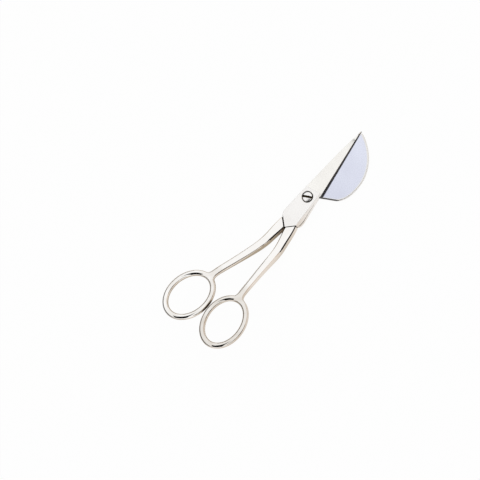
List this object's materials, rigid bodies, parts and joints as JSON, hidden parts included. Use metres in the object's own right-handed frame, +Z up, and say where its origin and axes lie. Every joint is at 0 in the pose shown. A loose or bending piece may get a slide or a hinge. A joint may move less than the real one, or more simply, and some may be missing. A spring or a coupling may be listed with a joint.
{
  "type": "applique scissors",
  "caption": "Nickel-plated applique scissors with a half-moon duckbill blade, a pointed blade, cranked shanks and oval finger bows on a slotted pivot screw.",
  "frame": {"origin": "middle of the shut scissors' bounding box, at the underside of the duckbill half", "axes": "+X along the blades to the tips, +Y to the left seen from the screw's head, +Z up along the pivot axis, out of the screw's head"},
  "size_m": [0.1506, 0.054, 0.0282],
  "materials": {
    "nickel_plate_duckbill": "polished nickel plate on forged steel, inner face ground",
    "nickel_plate_pointed": "polished nickel plate on forged steel, blade face satin ground",
    "screw_steel": "turned steel, bright"
  },
  "bodies": {
    "lower_half": {"duckbill_half": "nickel_plate_duckbill", "pivot_screw": "screw_steel"},
    "upper_half": {"pointed_half": "nickel_plate_pointed"}
  },
  "joints": [
    {"name": "blade_pivot", "type": "hinge", "parent": "lower_half", "child": "upper_half", "pos_m": [0.02675, 0, 0], "axis": [0, 0, 1], "range_deg": [0, 90]}
  ]
}
